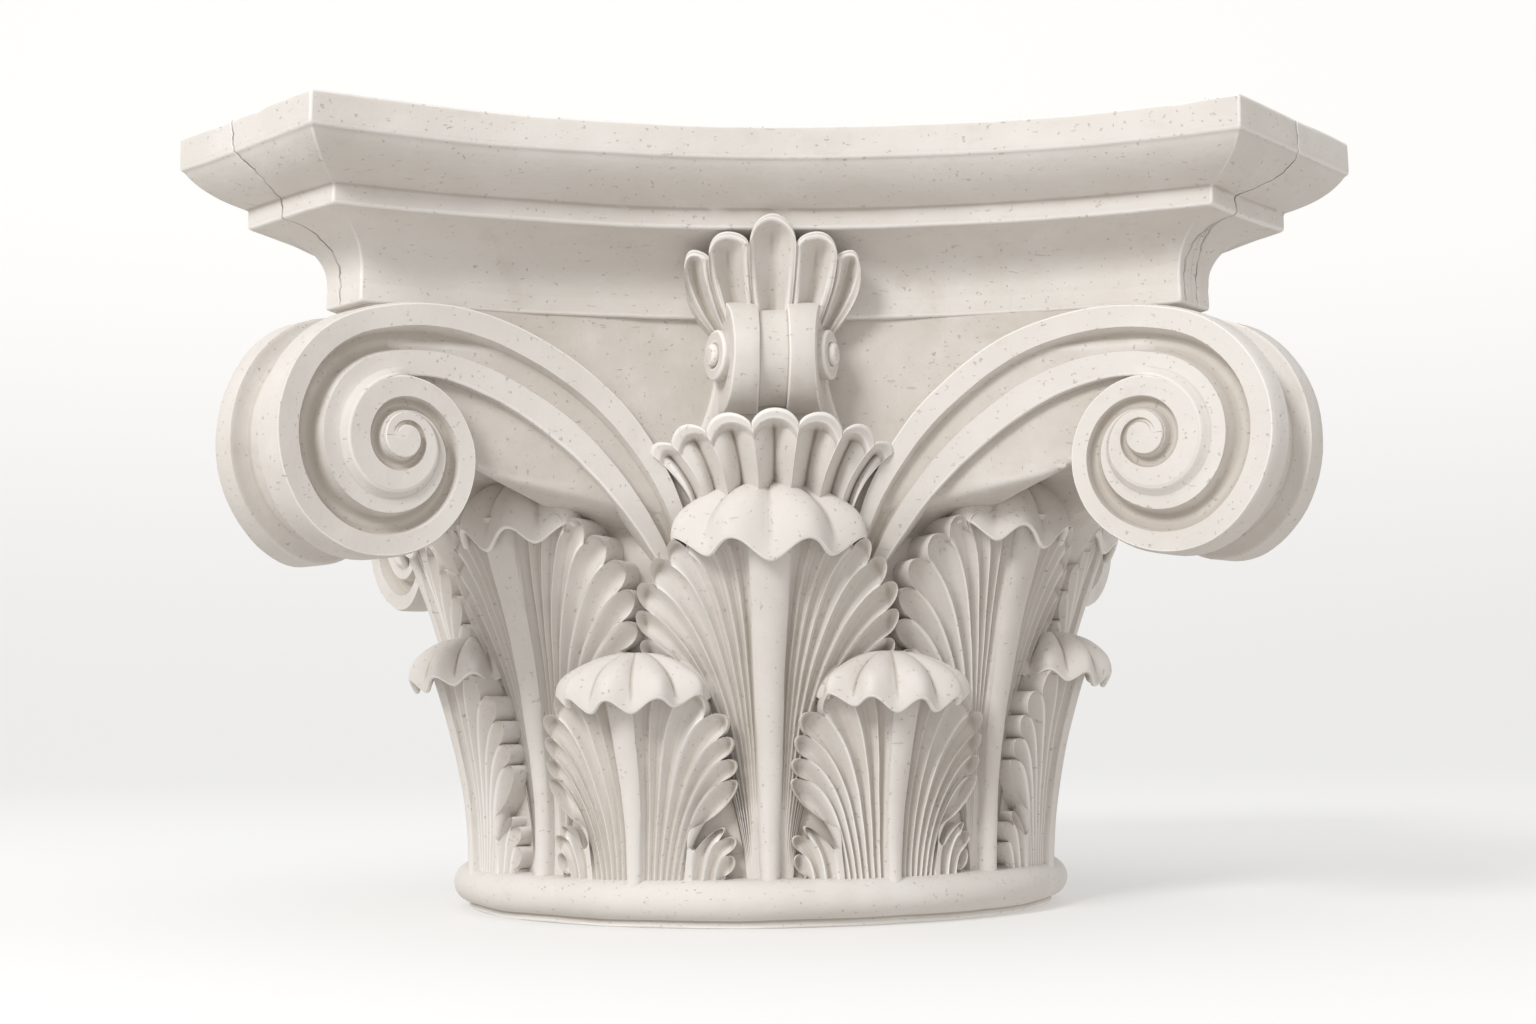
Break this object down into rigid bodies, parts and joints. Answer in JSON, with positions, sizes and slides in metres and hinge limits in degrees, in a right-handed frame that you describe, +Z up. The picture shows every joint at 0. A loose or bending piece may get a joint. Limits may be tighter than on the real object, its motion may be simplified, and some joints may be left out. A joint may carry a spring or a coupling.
{
  "type": "corinthian capital",
  "caption": "Carved stone Corinthian capital: acanthus leaves around a bell, corner volutes and a hollow-sided abacus, made to sit on a column shaft and carry a beam.",
  "frame": {"origin": "centre of the bottom bed, where the capital sits on the shaft", "axes": "+Z up along the column axis, -Y towards the front face, +X to the right"},
  "size_m": [0.502, 0.502, 0.3365],
  "materials": {
    "stone": "matt, dressed pale limestone with fine pits"
  },
  "bodies": {
    "root": {"capital": "stone"}
  },
  "joints": []
}
